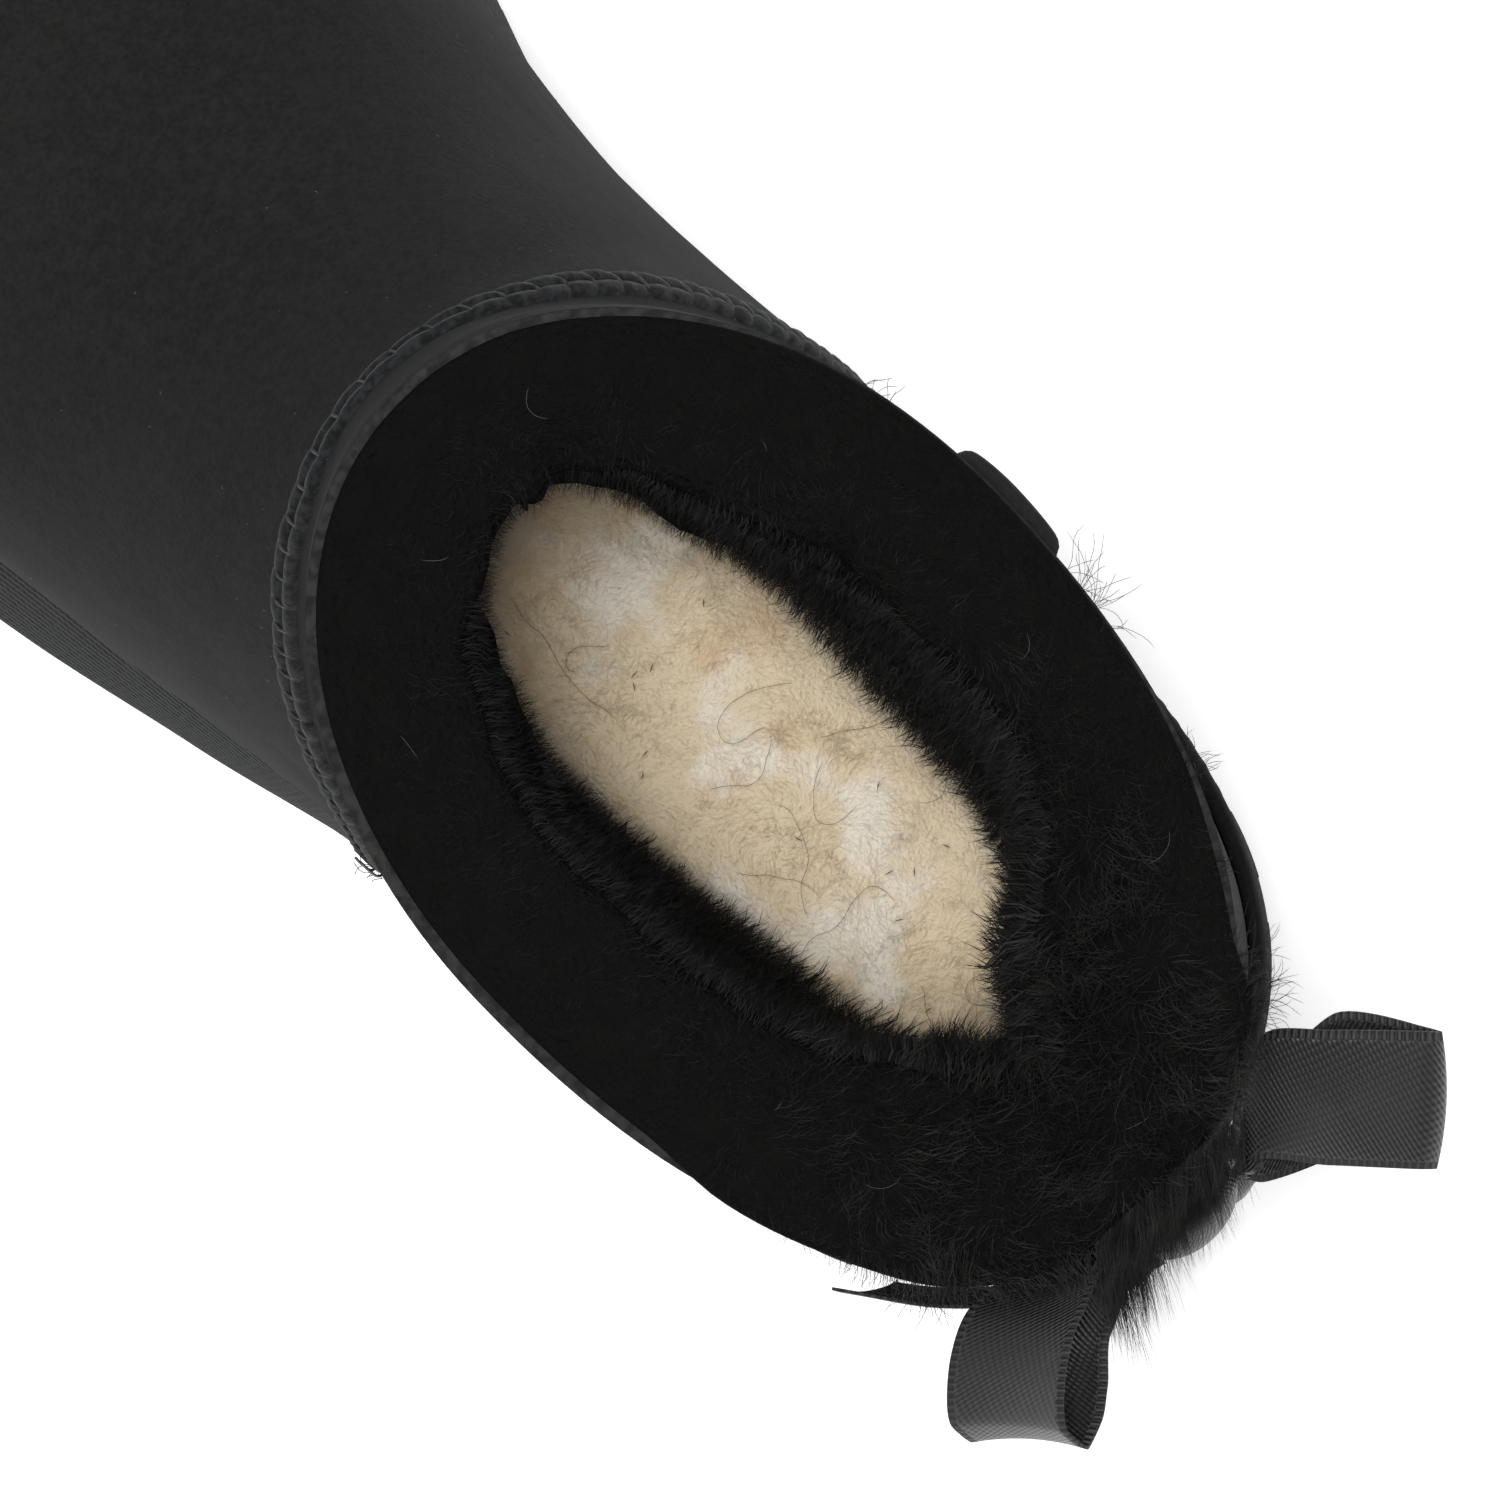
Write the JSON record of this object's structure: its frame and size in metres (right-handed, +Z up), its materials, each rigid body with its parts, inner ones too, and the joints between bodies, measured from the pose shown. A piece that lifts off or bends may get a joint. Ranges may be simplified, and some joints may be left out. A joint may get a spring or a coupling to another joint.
{
  "type": "sheepskin ankle boot",
  "caption": "Low pull-on sheepskin boot for the left foot: hollow wool-lined upper, loose fleece insole, grooved foam sole, heel counter and a satin ribbon bow at the back of the collar.",
  "frame": {"origin": "middle of the boot's bounding box, on the floor", "axes": "+Y towards the toe, +X towards the inner side of the foot, +Z up"},
  "size_m": [0.0988, 0.274, 0.13],
  "materials": {
    "foam_sole": "matt black foam with a fine woven texture on its side",
    "black_hide": "matt black nubuck, fine grained",
    "black_wool": "dense black clipped wool",
    "cream_fleece": "soft cream fleece with matted locks",
    "black_satin": "black satin ribbon with corded edges",
    "black_thread": "twisted black sewing thread"
  },
  "bodies": {
    "root": {"outsole": "foam_sole", "insole": "cream_fleece", "upper": "black_hide", "heel_counter": "black_hide", "bow_knot": "black_satin", "bow_loop_inner": "black_satin", "bow_loop_outer": "black_satin", "bow_tail_inner": "black_satin", "bow_tail_outer": "black_satin"}
  },
  "joints": []
}
